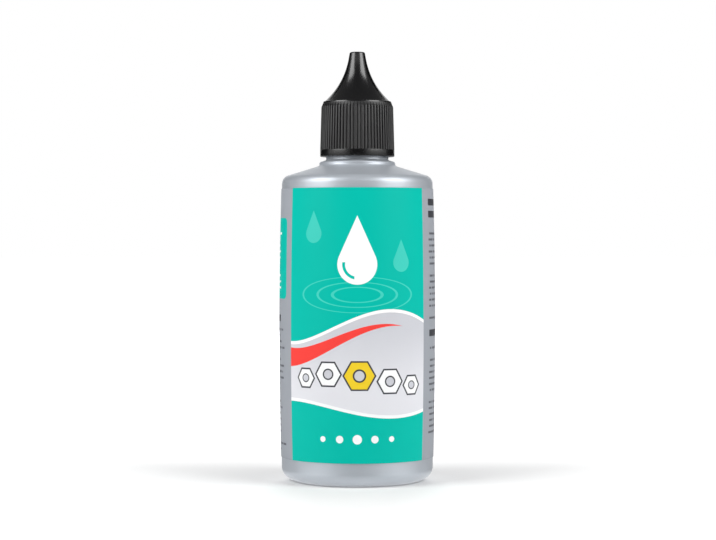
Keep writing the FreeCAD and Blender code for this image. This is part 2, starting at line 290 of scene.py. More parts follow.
def add_thread(bm, root, crest, start, turns):
    """Add a ridge that climbs round the axis, from a root radius to a crest radius."""
    half_foot, half_crest = RIDGE_FOOT / 2, RIDGE_CREST / 2
    corners = [(root, -half_foot), (crest, -half_crest), (crest, half_crest), (root, half_foot)]
    ridge = bmesh.new()
    verts = [ridge.verts.new((radius * MM, 0, (start + up) * MM)) for radius, up in corners]
    ridge.faces.new(verts)
    bmesh.ops.spin(
        ridge,
        geom=ridge.verts[:] + ridge.edges[:] + ridge.faces[:],
        axis=(0, 0, 1),
        cent=(0, 0, 0),
        dvec=(0, 0, PITCH / THREAD_STEPS * MM),
        angle=2 * math.pi * turns,
        steps=round(turns * THREAD_STEPS),
    )
    for vert in ridge.verts:
        radius = vert.co.to_2d().length
        around = math.atan2(vert.co.y, vert.co.x) / (2 * math.pi) % 1
        lap = round((vert.co.z / MM - start) / PITCH - around)
        run = (around + lap) / turns
        grown = min(1, max(min(run, 1 - run), LEAST_RIDGE) / RUN_OUT)
        lowered = root * MM + (radius - root * MM) * grown
        vert.co.x *= lowered / radius
        vert.co.y *= lowered / radius
    add_to(bm, ridge)


NECK_CREST = 8.85
NECK_TURNS = 2.25
THREAD_RISE = 4.26
THREAD_START = NECK_FOOT + THREAD_RISE
add_thread(bottle_mesh, NECK_RADIUS - RIDGE_SINK, NECK_CREST, THREAD_START, NECK_TURNS)
bottle = finished(bottle_mesh, "bottle_shell", "bottle", "bottle")

# %% [markdown]
# The dropper is a plug pressed into the mouth of the neck, with a flange that rests on the lip and a fine
# nozzle. It shows only when the cap is off. The bore could be cut out of a solid one, but a closed section,
# up the outside and down through the bore, gives both in one spin.

# %% Dropper
FLANGE_THICKNESS = 1.2
PLUG_RADIUS = 5.98
BORE_RADIUS = 4.78
NOZZLE_FOOT = 4.5
NOZZLE_TIP = 1.1
NOZZLE_WALL = 1.2
HOLE_RADIUS = 0.6
HOLE_LENGTH = 2.0
DROPPER_STEPS = 96

FLANGE_TOP = NECK_TOP + FLANGE_THICKNESS

# Radius, height and round of each corner.
dropper_mesh = section([
    (BORE_RADIUS, PLUG_FOOT, 0.2),
    (PLUG_RADIUS, PLUG_FOOT, 0.5),
    (PLUG_RADIUS, NECK_TOP),
    (FLANGE_RADIUS, NECK_TOP, 0.15),
    (FLANGE_RADIUS, FLANGE_TOP, 0.35),
    (NOZZLE_FOOT, FLANGE_TOP, 0.8),
    (NOZZLE_TIP, NOZZLE_TOP, 0.2),
    (HOLE_RADIUS, NOZZLE_TOP, 0.1),
    (HOLE_RADIUS, NOZZLE_TOP - HOLE_LENGTH),
    (NOZZLE_FOOT - NOZZLE_WALL, FLANGE_TOP, 0.5),
    (BORE_RADIUS, NECK_TOP, 0.5),
], closed=True)
turn(dropper_mesh, steps=DROPPER_STEPS)
dropper = finished(dropper_mesh, "dropper", "bottle", "dropper_insert")

# %% [markdown]
# The cap's core is turned as well: a plain band, a skirt that leans in, a narrow ledge and a flank that
# sweeps in to the tip. Inside it has the bore for the neck, a seat on the dropper and a pin for its hole.
# The grip can't come out of a spin, so it is added to the finished core.

# %% Cap core
BAND_HEIGHT = 1.95
RIM_HEIGHT = 0.45
CONE_HEIGHT = 14.08
CORE_FOOT = 10.2
CORE_HEAD = 9.75
CONE_FOOT = 9.3
WAIST = 2.4
TIP_RADIUS = 2.15
TIP_LENGTH = 1.43
TIP_WALL = 3.0
FLANK_SWEEP = -1.25
CAP_BORE = 9.25
SEAT_GAP = 0.05
SEAT_WIDTH = 2.6
HOLLOW_RADIUS = 1.5
PIN_PLAY = 0.15
PIN_DEPTH = 0.8
CAP_STEPS = 160
CAP_CREST = 8.15
CAP_TURNS = 1.75

BAND_TOP = CAP_FOOT + BAND_HEIGHT
RIM_TOP = TIP_TOP - CONE_HEIGHT
RIB_TOP = RIM_TOP - RIM_HEIGHT
CEILING = FLANGE_TOP + SEAT_GAP
HOLLOW_TOP = TIP_TOP - TIP_WALL
PIN_RADIUS = HOLE_RADIUS - PIN_PLAY
PIN_END = NOZZLE_TOP - PIN_DEPTH

# Radius, height and round of each corner, down the inside and up the outside.
cap_mesh = section([
    (0, PIN_END),
    (PIN_RADIUS, PIN_END, 0.15),
    (PIN_RADIUS, HOLLOW_TOP),
    (HOLLOW_RADIUS, HOLLOW_TOP),
    (CAP_BORE - SEAT_WIDTH, CEILING),
    (CAP_BORE, CEILING),
    (CAP_BORE, CAP_FOOT, 0.3),
    (BAND_RADIUS, CAP_FOOT, 0.25),
    (BAND_RADIUS, BAND_TOP, 0.1),
    (CORE_FOOT, BAND_TOP),
    (CORE_HEAD, RIM_TOP, 0.32),
    (CONE_FOOT, RIM_TOP, 0.1, FLANK_SWEEP),
    (WAIST, TIP_TOP - TIP_LENGTH),
    (TIP_RADIUS, TIP_TOP, 0.5),
    (0, TIP_TOP),
])
turn(cap_mesh, steps=CAP_STEPS)
add_thread(cap_mesh, CAP_BORE + RIDGE_SINK, CAP_CREST, THREAD_START + PITCH / 2, CAP_TURNS)
print("cap core:", len(cap_mesh.faces), "faces")

# %% [markdown]
# Sixty-six ribs give the skirt its grip. One rib is a bar that leans with the skirt and slopes off at its
# head, with its outer edges bevelled. An Array modifier could repeat it, but spin with use_duplicate sets out
# the others in the same mesh, so a change to the first is a change to all.

# %% Cap ribs
RIB_COUNT = 66
RIB_WIDTH = 0.74
RIB_FOOT_RADIUS = 10.6
RIB_HEAD_RADIUS = 10.25
RIB_HEAD_DROP = 1.0
RIB_ROUND = 0.33
RIB_ROOT = 0.25
RIB_SINK = 0.05

RIB_FOOT = BAND_TOP - RIB_SINK

# Radius and height of a rib's corners, by whether they lie outside and at the head.
RIB_CORNERS = {
    (True, True): (RIB_HEAD_RADIUS, RIB_TOP - RIB_HEAD_DROP),
    (True, False): (RIB_FOOT_RADIUS, RIB_FOOT),
    (False, True): (CORE_HEAD, RIB_TOP),
    (False, False): (CORE_FOOT - RIB_ROOT, RIB_FOOT),
}
rib = bmesh.new()
bmesh.ops.create_cube(rib, size=1)
for vert in rib.verts:
    radius, height = RIB_CORNERS[vert.co.x > 0, vert.co.z > 0]
    vert.co = (radius, vert.co.y * RIB_WIDTH, height)
outer_edges = [edge for edge in rib.edges if all(vert.co.x >= RIB_HEAD_RADIUS for vert in edge.verts)]
bmesh.ops.bevel(
    rib,
    geom=[edge for edge in outer_edges if any(vert.co.z > BAND_TOP for vert in edge.verts)],
    offset=RIB_ROUND,
    segments=3,
    profile=0.5,
    affect="EDGES",
    material=-1,
)
bmesh.ops.scale(rib, verts=rib.verts, vec=(MM, MM, MM))
bmesh.ops.spin(
    rib,
    geom=rib.verts[:] + rib.edges[:] + rib.faces[:],
    axis=(0, 0, 1),
    cent=(0, 0, 0),
    angle=2 * math.pi * (RIB_COUNT - 1) / RIB_COUNT,
    steps=RIB_COUNT - 1,
    use_duplicate=True,
)
add_to(cap_mesh, rib)
cap = finished(cap_mesh, "screw_cap", "cap", "cap")

# %% [markdown]
# The label is a film that goes once round the bowed wall, with its two ends a millimetre apart at the back.
# A plain tube would stand off the wall in places, so its section is a thin strip with the wall's own bow,
# and spin takes that nearly all the way round.

# %% Label film
FILM = 0.12
SEAM = 1.0
LABEL_STEPS = 180
FILM_LIFT = LABEL_RADIUS - BODY_RADIUS


def film_at(height):
    """Radius of the film on the bowed wall at a height."""
    return END_RADIUS + BOW * arch(height / SHOULDER) + FILM_LIFT


foot_radius, head_radius = film_at(LABEL_FOOT), film_at(LABEL_TOP)
label_bow = film_at((LABEL_FOOT + LABEL_TOP) / 2) - (foot_radius + head_radius) / 2
label_mesh = section([
    (foot_radius - FILM, LABEL_FOOT),
    (foot_radius, LABEL_FOOT, 0, label_bow),
    (head_radius, LABEL_TOP),
    (head_radius - FILM, LABEL_TOP, 0, -label_bow),
], closed=True)
seam_angle = SEAM / LABEL_RADIUS
seam_start = Matrix.Rotation(math.pi / 2 + seam_angle / 2, 3, "Z")
bmesh.ops.rotate(label_mesh, verts=label_mesh.verts, cent=(0, 0, 0), matrix=seam_start)
turn(label_mesh, angle=2 * math.pi - seam_angle, steps=LABEL_STEPS)
ends = [edge for edge in label_mesh.edges if len(edge.link_faces) == 1]
bmesh.ops.holes_fill(label_mesh, edges=ends, sides=0)
bmesh.ops.recalc_face_normals(label_mesh, faces=label_mesh.faces)
label = finished(label_mesh, "label_film", "bottle", "label")

# %% [markdown]
# Materials are built from nodes, because a node tree needs no picture file and stays sharp at any distance.
# These helpers keep the trees readable: most add one node and return its output. Colours are written as they
# look on a screen, from 0 to 255, and turned into the linear values that Blender works with.

# %% Node helpers
MIX_FACTOR, MIX_BELOW, MIX_ABOVE, MIX_RESULT = 0, 6, 7, 2


def screen(red, green, blue):
    """Linear colour of a screen colour."""
    shares = [part / 255 for part in (red, green, blue)]
    return [part / 12.92 if part < 0.04045 else ((part + 0.055) / 1.055) ** 2.4 for part in shares] + [1]


def plug_in(tree, socket, value):
    """Set a socket to a value, or link it to another node's output."""
    if isinstance(value, bpy.types.NodeSocket):
        tree.links.new(value, socket)
    else:
        socket.default_value = value


def calc(tree, operation, *values, clamp=False):
    """The result of a Math node."""
    node = tree.nodes.new("ShaderNodeMath")
    node.operation = operation
    node.use_clamp = clamp
    for socket, value in zip(node.inputs, values):
        plug_in(tree, socket, value)
    return node.outputs["Value"]


def vector(tree, operation, *values):
    """The result of a Vector Math node."""
    node = tree.nodes.new("ShaderNodeVectorMath")
    node.operation = operation
    for socket, value in zip(node.inputs, values):
        plug_in(tree, socket, value)
    return node.outputs["Value" if operation in ("LENGTH", "DISTANCE") else "Vector"]


def axes_of(tree, place):
    """The three parts of a place."""
    node = tree.nodes.new("ShaderNodeSeparateXYZ")
    tree.links.new(place, node.inputs["Vector"])
    return node.outputs["X"], node.outputs["Y"], node.outputs["Z"]


def graded(tree, value, near, far):
    """An even change between two ends, each a value and the result that it gives."""
    node = tree.nodes.new("ShaderNodeMapRange")
    plug_in(tree, node.inputs["Value"], value)
    node.inputs["From Min"].default_value, node.inputs["To Min"].default_value = near
    node.inputs["From Max"].default_value, node.inputs["To Max"].default_value = far
    return node.outputs["Result"]


def ink_over(tree, below, mask, ink):
    """Lay a colour over another where a mask is 1."""
    node = tree.nodes.new("ShaderNodeMix")
    node.data_type = "RGBA"
    plug_in(tree, node.inputs[MIX_FACTOR], mask)
    plug_in(tree, node.inputs[MIX_BELOW], below)
    plug_in(tree, node.inputs[MIX_ABOVE], ink)
    return node.outputs[MIX_RESULT]


print(f"screen grey 128 is {screen(128, 128, 128)[0]:.3f} in linear light")

# %% [markdown]
# Every plastic here is a Principled shader with a little grain, which varies the gloss and raises the surface
# by hundredths of a millimetre. The grain is a noise on the Object coordinates, so it stays with the piece.

# %% Plastics and their grain


def noise(tree, place, scale, detail=2.0):
    """A soft random pattern; a larger scale makes it finer."""
    node = tree.nodes.new("ShaderNodeTexNoise")
    plug_in(tree, node.inputs["Vector"], place)
    node.inputs["Scale"].default_value = scale
    node.inputs["Detail"].default_value = detail
    return node.outputs["Fac"]


def plastic(name, **settings):
    """A material with a Principled shader, its node tree and the Object coordinates."""
    material = bpy.data.materials.new(name)
    material.use_nodes = True
    tree = material.node_tree
    shader = tree.nodes["Principled BSDF"]
    for socket, value in settings.items():
        shader.inputs[socket.replace("_", " ")].default_value = value
    place = tree.nodes.new("ShaderNodeTexCoord").outputs["Object"]
    return material, tree, shader, place


def roughen(tree, shader, grain, low, high):
    """Let a grain vary the roughness between two values."""
    tree.links.new(graded(tree, grain, (0, low), (1, high)), shader.inputs["Roughness"])


def emboss(tree, shader, grain, depth, strength):
    """Let a grain raise the surface a little."""
    bump = tree.nodes.new("ShaderNodeBump")
    bump.inputs["Strength"].default_value = strength
    bump.inputs["Distance"].default_value = depth * MM
    plug_in(tree, bump.inputs["Height"], grain)
    tree.links.new(bump.outputs["Normal"], shader.inputs["Normal"])


print("pieces that wait for a plastic:", [piece.name for piece in (bottle, dropper, cap, label)])

# %% [markdown]
# The bottle's silver comes from fine metal flake in the plastic. A metal shader would mirror the room, so the
# shader is only one third metallic. A tight noise varies its colour and gloss a little, and a broad one
# clouds it as the flake flows in the mould.

# %% Silver plastic
SILVER_LIGHT = screen(186, 191, 198)
SILVER_DARK = screen(173, 179, 186)
FLAKE_SHARE = 0.6

silver, tree, shader, place = plastic("silver_plastic", Metallic=0.33, Specular_IOR_Level=0.4)
flake = noise(tree, place, scale=9000)
cloud = noise(tree, place, scale=90, detail=3)
blend = calc(tree, "MULTIPLY_ADD", flake, FLAKE_SHARE, calc(tree, "MULTIPLY", cloud, 1 - FLAKE_SHARE))
tree.links.new(ink_over(tree, SILVER_DARK, blend, SILVER_LIGHT), shader.inputs["Base Color"])
roughen(tree, shader, flake, low=0.33, high=0.43)
emboss(tree, shader, noise(tree, place, scale=2200), depth=0.02, strength=0.25)
bottle.data.materials.append(silver)
print("silver plastic:", len(tree.nodes), "nodes")

# %% [markdown]
# The cap is black plastic. Its pointed top comes from a polished part of the mould, and the ribbed skirt and
# the band are duller. The skirt's colour is also a touch lighter, a painted sheen for the glints on its ribs.
# Two materials could show that, but one with zones by height keeps the cap one piece.

# %% Black plastic
BLACK = screen(12, 12, 13)
BLACK_SKIRT_PAINTED_SHEEN = screen(18, 18, 19)
POLISHED = 0.17
HAZE_DULLER = 0.08
SKIRT_DULLER = 0.25
BELOW_RIM_DULLER = 0.06

black, tree, shader, place = plastic("black_plastic", Specular_IOR_Level=0.62)
across, along, height = axes_of(tree, place)
below_rim = calc(tree, "LESS_THAN", height, RIB_TOP * MM)
on_skirt = calc(tree, "MULTIPLY", below_rim, calc(tree, "GREATER_THAN", height, BAND_TOP * MM))
# Painted sheen: the ribbed skirt is coloured a touch lighter than the rest of the black plastic.
tree.links.new(ink_over(tree, BLACK, on_skirt, BLACK_SKIRT_PAINTED_SHEEN), shader.inputs["Base Color"])
haze = noise(tree, place, scale=350, detail=4)
dull = calc(tree, "MULTIPLY_ADD", haze, HAZE_DULLER, POLISHED)
dull = calc(tree, "MULTIPLY_ADD", on_skirt, SKIRT_DULLER, dull)
dull = calc(tree, "MULTIPLY_ADD", below_rim, BELOW_RIM_DULLER, dull)
tree.links.new(dull, shader.inputs["Roughness"])
emboss(tree, shader, noise(tree, place, scale=3000), depth=0.01, strength=0.2)
cap.data.materials.append(black)
print("black plastic:", len(tree.nodes), "nodes")

# %% [markdown]
# The dropper is undyed plastic: whitish, and light goes a little way into it. Subsurface scattering with the
# same reach for all colours gives that without a tint.

# %% Natural plastic
NATURAL = screen(232, 234, 230)
NATURAL_DEEP = screen(220, 224, 220)

natural, tree, shader, place = plastic(
    "natural_plastic",
    Subsurface_Weight=0.35,
    Subsurface_Scale=0.002,
    Subsurface_Radius=(1, 1, 1),
)
milk = noise(tree, place, scale=260, detail=3)
tree.links.new(ink_over(tree, NATURAL_DEEP, milk, NATURAL), shader.inputs["Base Color"])
roughen(tree, shader, milk, low=0.32, high=0.44)
emboss(tree, shader, noise(tree, place, scale=1500), depth=0.01, strength=0.2)
dropper.data.materials.append(natural)
print("natural plastic:", len(tree.nodes), "nodes")

# %% [markdown]
# The print is worked out in the film's own plane: the way round the wall from the middle of the front, and
# the height, both in millimetres. A shape is the distance from its edge, below zero inside, so each ink has a
# crisp edge at any size and there is no picture to load. The inks are laid one over another, as on a press.

# %% Print shapes
INK_EDGE = 0.08


class Print:
    """The inks of one film; shapes are distances from their edges in millimetres."""

    def __init__(self, tree, place, ground):
        self.tree = tree
        self.colour = ground
        x, y, z = axes_of(tree, place)
        azimuth = calc(tree, "ARCTAN2", x, calc(tree, "MULTIPLY", y, -1))
        self.across = calc(tree, "MULTIPLY", azimuth, LABEL_RADIUS)
        self.up = calc(tree, "DIVIDE", z, MM)
        joined = tree.nodes.new("ShaderNodeCombineXYZ")
        tree.links.new(self.across, joined.inputs["X"])
        tree.links.new(self.up, joined.inputs["Y"])
        self.sheet = joined.outputs["Vector"]

    def calc(self, operation, *values):
        """The result of a Math node in the film's tree."""
        return calc(self.tree, operation, *values)

    def inside(self, shape):
        """1 inside a shape and 0 outside, with a crisp edge between."""
        return calc(self.tree, "MULTIPLY_ADD", shape, -1 / INK_EDGE, 0.5, clamp=True)

    def lay(self, ink, *shapes):
        """Lay an ink where a point is inside all the shapes."""
        mask = self.inside(shapes[0])
        for shape in shapes[1:]:
            mask = self.calc("MULTIPLY", mask, self.inside(shape))
        self.colour = ink_over(self.tree, self.colour, mask, ink)

    def offset(self, across, up):
        """Place on the film, measured from a point, as its two parts."""
        return self.calc("SUBTRACT", self.across, across), self.calc("SUBTRACT", self.up, up)

    def disc(self, across, up, radius):
        """A round spot."""
        return self.calc("SUBTRACT", vector(self.tree, "DISTANCE", self.sheet, (across, up, 0)), radius)

    def line(self, shape, width):
        """The line of a width along a shape's edge."""
        return self.calc("SUBTRACT", self.calc("ABSOLUTE", shape), width / 2)

    def bar(self, across, up, half_width, half_height, corner):
        """A rectangle with round corners."""
        away = vector(self.tree, "ABSOLUTE", vector(self.tree, "SUBTRACT", self.sheet, (across, up, 0)))
        past = vector(self.tree, "SUBTRACT", away, (half_width - corner, half_height - corner, 0))
        past = vector(self.tree, "MAXIMUM", past, (0, 0, 0))
        return self.calc("SUBTRACT", vector(self.tree, "LENGTH", past), corner)

    def hexagon(self, across, up, inner_radius):
        """A hexagon that stands on a side."""
        aside, above = [self.calc("ABSOLUTE", part) for part in self.offset(across, up)]
        half_above = self.calc("MULTIPLY", above, math.cos(math.pi / 3))
        slant = self.calc("MULTIPLY_ADD", aside, math.sin(math.pi / 3), half_above)
        return self.calc("SUBTRACT", self.calc("MAXIMUM", slant, above), inner_radius)

    def drop(self, across, up, radius, point):
        """A disc with two straight sides that meet in a point above it."""
        lean = math.asin(radius / point)
        aside, above = self.offset(across, up)
        aside = self.calc("MULTIPLY", self.calc("ABSOLUTE", aside), math.cos(lean))
        below = self.calc("MULTIPLY", self.calc("SUBTRACT", above, point), math.sin(lean))
        over_disc = self.calc("SUBTRACT", radius * math.sin(lean), above)
        sides = self.calc("MAXIMUM", self.calc("ADD", aside, below), over_disc)
        return self.calc("MINIMUM", self.disc(across, up, radius), sides)

    def ripple(self, across, up, radius, flatness):
        """A flat ellipse, as a ring on water looks."""
        aside, above = self.offset(across, up)
        above = self.calc("DIVIDE", above, flatness)
        squares = [self.calc("POWER", part, 2) for part in (aside, above)]
        return self.calc("SUBTRACT", self.calc("SQRT", self.calc("ADD", *squares)), radius)

    def wave(self, height, swing, length, shift):
        """Height of a wavy line."""
        angle = self.calc("MULTIPLY_ADD", self.across, 2 * math.pi / length, 2 * math.pi * shift / length)
        return self.calc("MULTIPLY_ADD", self.calc("SINE", angle), swing, height)


print("the edge of an ink is", INK_EDGE, "mm wide")

# %% [markdown]
# The layout is a plain one: green-blue fields above and below with wavy edges, a bright field between them
# and a red ribbon that runs out. The edges could be drawn as curves, but a sine wave takes four numbers. The
# film itself is silver grey and shows beside the panel.

# %% Label fields
TEAL = screen(0, 187, 170)
WHITE = screen(250, 250, 250)
PANEL = screen(226, 226, 231)
PANEL_SHADE = screen(204, 205, 211)
FILM_GREY = screen(158, 162, 169)
RED = screen(246, 70, 64)
PANEL_HALF = 22.0
PANEL_HEAD = 44.0
FADE = 16.0
PIPING = 0.9
RIBBON_DROP = 4.4
RIBBON_HALF = 1.0
RIBBON_TAPER = -0.075

label_ink, tree, shader, place = plastic("label_film", Specular_IOR_Level=0.08)
roughen(tree, shader, noise(tree, place, scale=700, detail=3), low=0.4, high=0.5)
emboss(tree, shader, noise(tree, place, scale=500), depth=0.02, strength=0.2)
inks = Print(tree, place, FILM_GREY)
panel = inks.calc("SUBTRACT", inks.calc("ABSOLUTE", inks.across), PANEL_HALF)
inks.lay(PANEL_SHADE, panel)
fade = calc(tree, "MULTIPLY_ADD", inks.up, -1 / FADE, PANEL_HEAD / FADE, clamp=True)
inks.colour = ink_over(tree, inks.colour, inks.calc("MULTIPLY", fade, inks.inside(panel)), PANEL)
upper_edge = inks.wave(height=45.0, swing=4.6, length=62.0, shift=6.0)
lower_edge = inks.wave(height=21.5, swing=2.2, length=62.0, shift=36.0)
over_upper = inks.calc("SUBTRACT", upper_edge, inks.up)
under_lower = inks.calc("SUBTRACT", inks.up, lower_edge)
ribbon_half = inks.calc("MULTIPLY_ADD", inks.across, RIBBON_TAPER, RIBBON_HALF)
ribbon_middle = inks.calc("SUBTRACT", upper_edge, RIBBON_DROP)
beside_ribbon = inks.calc("ABSOLUTE", inks.calc("SUBTRACT", inks.up, ribbon_middle))
inks.lay(RED, panel, inks.calc("SUBTRACT", beside_ribbon, ribbon_half))
for field in (over_upper, under_lower):
    inks.lay(WHITE, panel, inks.calc("SUBTRACT", field, PIPING))
    inks.lay(TEAL, panel, field)
print("label fields:", len(tree.nodes), "nodes")

# %% [markdown]
# A falling drop with rings on water fills the upper field, a row of hexagons like nuts the bright one and a
# row of dots the lower one. They are all made from the few shapes above, each with its own place and size.

# %% Label motifs
TEAL_PALE = screen(68, 205, 189)
YELLOW = screen(240, 206, 48)
INK = screen(66, 67, 72)
RING_PLACE = (0, 53.6)
RING_FLATNESS = 0.3
RINGS = ((7.0, 0.9), (11.5, 0.75), (16.5, 0.6))
DROP_PLACE = (0, 62.0)
SHINE_RADIUS = 3.8
SHINE_WIDTH = 0.8
SHINE_END = (-0.8, 62.6)
SMALL_DROPS = ((-13.0, 70.5), (13.0, 62.5))
NUTS = ((-15.6, 30.4, 2.6), (-8.3, 31.6, 3.3), (0.6, 31.2, 3.9), (9.4, 29.6, 3.3), (16.6, 28.4, 2.6))
YELLOW_NUT = 2
NUT_OUTLINE = 0.45
HOLE_RIM_SHARE = 0.48
HOLE_SHARE = 0.36
DOTS = ((-10, 0.8), (-5, 1.05), (0, 1.3), (5, 1.05), (10, 0.8))
DOT_HEIGHT = 13.6

for radius, width in RINGS:
    ring = inks.ripple(*RING_PLACE, radius, RING_FLATNESS)
    inks.lay(TEAL_PALE, over_upper, inks.line(ring, width))
inks.lay(WHITE, inks.drop(*DROP_PLACE, radius=5.6, point=13.5))
shine = inks.line(inks.disc(*DROP_PLACE, SHINE_RADIUS), SHINE_WIDTH)
inks.lay(TEAL, shine, *inks.offset(*SHINE_END))
for across, up in SMALL_DROPS:
    inks.lay(TEAL_PALE, inks.drop(across, up, radius=2.6, point=6.4))
for number, (across, up, radius) in enumerate(NUTS):
    nut = inks.hexagon(across, up, radius)
    inks.lay(YELLOW if number == YELLOW_NUT else WHITE, nut)
    inks.lay(INK, inks.line(nut, NUT_OUTLINE))
    inks.lay(INK, inks.disc(across, up, radius * HOLE_RIM_SHARE))
    inks.lay(PANEL_SHADE, inks.disc(across, up, radius * HOLE_SHARE))
for across, radius in DOTS:
    inks.lay(WHITE, inks.disc(across, DOT_HEIGHT, radius))
print("label motifs:", len(tree.nodes), "nodes")

# %% [markdown]
# Small print is lines of short bars with gaps between the words, broken into paragraphs with ragged ends. A
# bar for each word would need hundreds of nodes. A white noise gives each cell of a line a lasting random
# number instead, which says whether a word ends there.

# %% Small print
LINE_PITCH = 1.7
LINE_HEIGHT = 0.6
WORD_ENDS = 0.36
WORD_GAP = 0.58
PARAGRAPH = 7
RAGGED = 0.3


def chance(tree, *numbers):
    """A lasting random number from 0 to 1 for each pair of whole numbers."""
    dice = tree.nodes.new("ShaderNodeTexWhiteNoise")
    dice.noise_dimensions = "2D"
    pair = tree.nodes.new("ShaderNodeCombineXYZ")
    for socket, number in zip(pair.inputs, numbers):
        plug_in(tree, socket, number)
    tree.links.new(pair.outputs["Vector"], dice.inputs["Vector"])
    return dice.outputs["Value"]


def small_print(ink, left, right, low_row, high_row):
    """Lay rows of small print between two edges, from one row up to just below another."""
    row = inks.calc("FLOOR", inks.calc("DIVIDE", inks.up, LINE_PITCH))
    middle = inks.calc("MULTIPLY", inks.calc("ADD", row, 0.5), LINE_PITCH)
    beside = inks.calc("ABSOLUTE", inks.calc("SUBTRACT", inks.up, middle))
    cell = inks.calc("FLOOR", inks.calc("DIVIDE", inks.across, LINE_PITCH))
    into_cell = inks.calc("SUBTRACT", inks.across, inks.calc("MULTIPLY", cell, LINE_PITCH))
    word_ends = inks.calc("LESS_THAN", chance(tree, cell, row), WORD_ENDS)
    line_end = inks.calc("MULTIPLY_ADD", chance(tree, row, left), (left - right) * RAGGED, right)
    blank = inks.calc("LESS_THAN", inks.calc("FLOORED_MODULO", row, PARAGRAPH), 0.5)
    inks.lay(
        ink,
        inks.calc("SUBTRACT", beside, LINE_HEIGHT / 2),
        inks.calc("SUBTRACT", inks.calc("MULTIPLY", word_ends, WORD_GAP), into_cell),
        inks.calc("SUBTRACT", left, inks.across),
        inks.calc("SUBTRACT", inks.across, line_end),
        inks.calc("SUBTRACT", blank, 0.5),
        inks.calc("SUBTRACT", low_row - 0.5, row),
        inks.calc("SUBTRACT", row, high_row - 0.5),
    )


print(f"the label has room for {int((LABEL_TOP - LABEL_FOOT) / LINE_PITCH)} lines of small print")

# %% [markdown]
# The small print runs round the sides, under headings that are plain bars. On the left a green-blue field
# with white lines breaks it up. The headings differ only in height and length, so a short table sets them.

# %% Sides of the label
PALE_INK = screen(98, 100, 106)
COLUMN_NEAR = 25.5
COLUMN_FAR = 47.0
HEADING_HALF = 0.95
HEADING_CORNER = 0.3
RIGHT_HEADINGS = ((79.4, 15.0), (76.0, 9.0), (42.5, 11.0))
RIGHT_ROWS = ((27, 43), (7, 23))
LEFT_HEADINGS = ((79.4, 12.0), (46.6, 17.0))
LEFT_ROWS = (5, 26)
NOTE_MIDDLE = (-(COLUMN_NEAR + COLUMN_FAR) / 2, 63.5)
NOTE_HALF = 11.4
NOTE_CORNER = 1.6
NOTE_MARGIN = 2.4
NOTE_ROWS = (32, 43)


def headings(start, rows):
    """Lay bars of a height and a length that all start in one place."""
    for height, length in rows:
        inks.lay(INK, inks.bar(start + length / 2, height, length / 2, HEADING_HALF, HEADING_CORNER))


headings(COLUMN_NEAR, RIGHT_HEADINGS)
for rows in RIGHT_ROWS:
    small_print(PALE_INK, COLUMN_NEAR, COLUMN_FAR, *rows)
headings(-COLUMN_FAR, LEFT_HEADINGS)
inks.lay(TEAL, inks.bar(*NOTE_MIDDLE, NOTE_HALF, NOTE_HALF, NOTE_CORNER))
small_print(WHITE, NOTE_MARGIN - COLUMN_FAR, -NOTE_MARGIN - COLUMN_NEAR, *NOTE_ROWS)
small_print(PALE_INK, -COLUMN_FAR, -COLUMN_NEAR, *LEFT_ROWS)
print("sides of the label:", len(tree.nodes), "nodes")

# %% [markdown]
# The back shows how the drops are used: three round signs on one side of the seam, and a ruled table on the
# other, both with small print under them. Each line of the table is alike, so a loop lays them all.

# %% Back of the label
BACK_NEAR = 50.6
BACK_FAR = 69.0
BACK_MIDDLE = (BACK_NEAR + BACK_FAR) / 2
SIGN_RADIUS = 5.2
SIGN_GAP = 1.2
SIGN_AT = BACK_NEAR + SIGN_RADIUS
SIGN_TEXT = SIGN_AT + SIGN_RADIUS + SIGN_GAP
SIGN_HEIGHTS = (73.95, 60.35, 46.75)
SIGN_ROWS = ((41, 46), (33, 38), (25, 30))
SIGN_DROP_DOWN = 1.1
SYMBOL_RADIUS = 2.5
SYMBOL_LINE = 0.9
TARGET_RADIUS = 0.8
TABLE_TOP = 78.0
TABLE_STEP = 5.4
TABLE_ENTRIES = (4.6, 5.6, 6.6, 4.6, 5.6, 6.6)
ENTRY_MARGIN = 0.6
MARK_MARGIN = 1.8
MARK_RADIUS = 1.2
RIGHT_FOOT_ROWS = (5, 22)
LEFT_FOOT_ROWS = (5, 25)

for height, rows in zip(SIGN_HEIGHTS, SIGN_ROWS):
    inks.lay(TEAL, inks.disc(SIGN_AT, height, SIGN_RADIUS))
    small_print(PALE_INK, SIGN_TEXT, BACK_FAR, *rows)
drop_height, target_height, nut_height = SIGN_HEIGHTS
inks.lay(WHITE, inks.drop(SIGN_AT, drop_height - SIGN_DROP_DOWN, radius=1.9, point=4.6))
inks.lay(WHITE, inks.line(inks.disc(SIGN_AT, target_height, SYMBOL_RADIUS), SYMBOL_LINE))
inks.lay(WHITE, inks.disc(SIGN_AT, target_height, TARGET_RADIUS))
inks.lay(WHITE, inks.line(inks.hexagon(SIGN_AT, nut_height, SYMBOL_RADIUS), SYMBOL_LINE))
small_print(PALE_INK, BACK_NEAR, BACK_FAR, *RIGHT_FOOT_ROWS)
for row, half_length in enumerate(TABLE_ENTRIES):
    rule = TABLE_TOP - row * TABLE_STEP
    entry = rule - TABLE_STEP / 2
    entry_middle = half_length - BACK_FAR + ENTRY_MARGIN
    inks.lay(INK, inks.bar(-BACK_MIDDLE, rule, BACK_MIDDLE - BACK_NEAR, half_height=0.16, corner=0.1))
    inks.lay(PALE_INK, inks.bar(entry_middle, entry, half_length, half_height=0.5, corner=0.2))
    inks.lay(TEAL, inks.disc(-BACK_NEAR - MARK_MARGIN, entry, MARK_RADIUS))
small_print(PALE_INK, -BACK_FAR, -BACK_NEAR, *LEFT_FOOT_ROWS)
tree.links.new(inks.colour, shader.inputs["Base Color"])
label.data.materials.append(label_ink)
print("back of the label:", len(tree.nodes), "nodes")
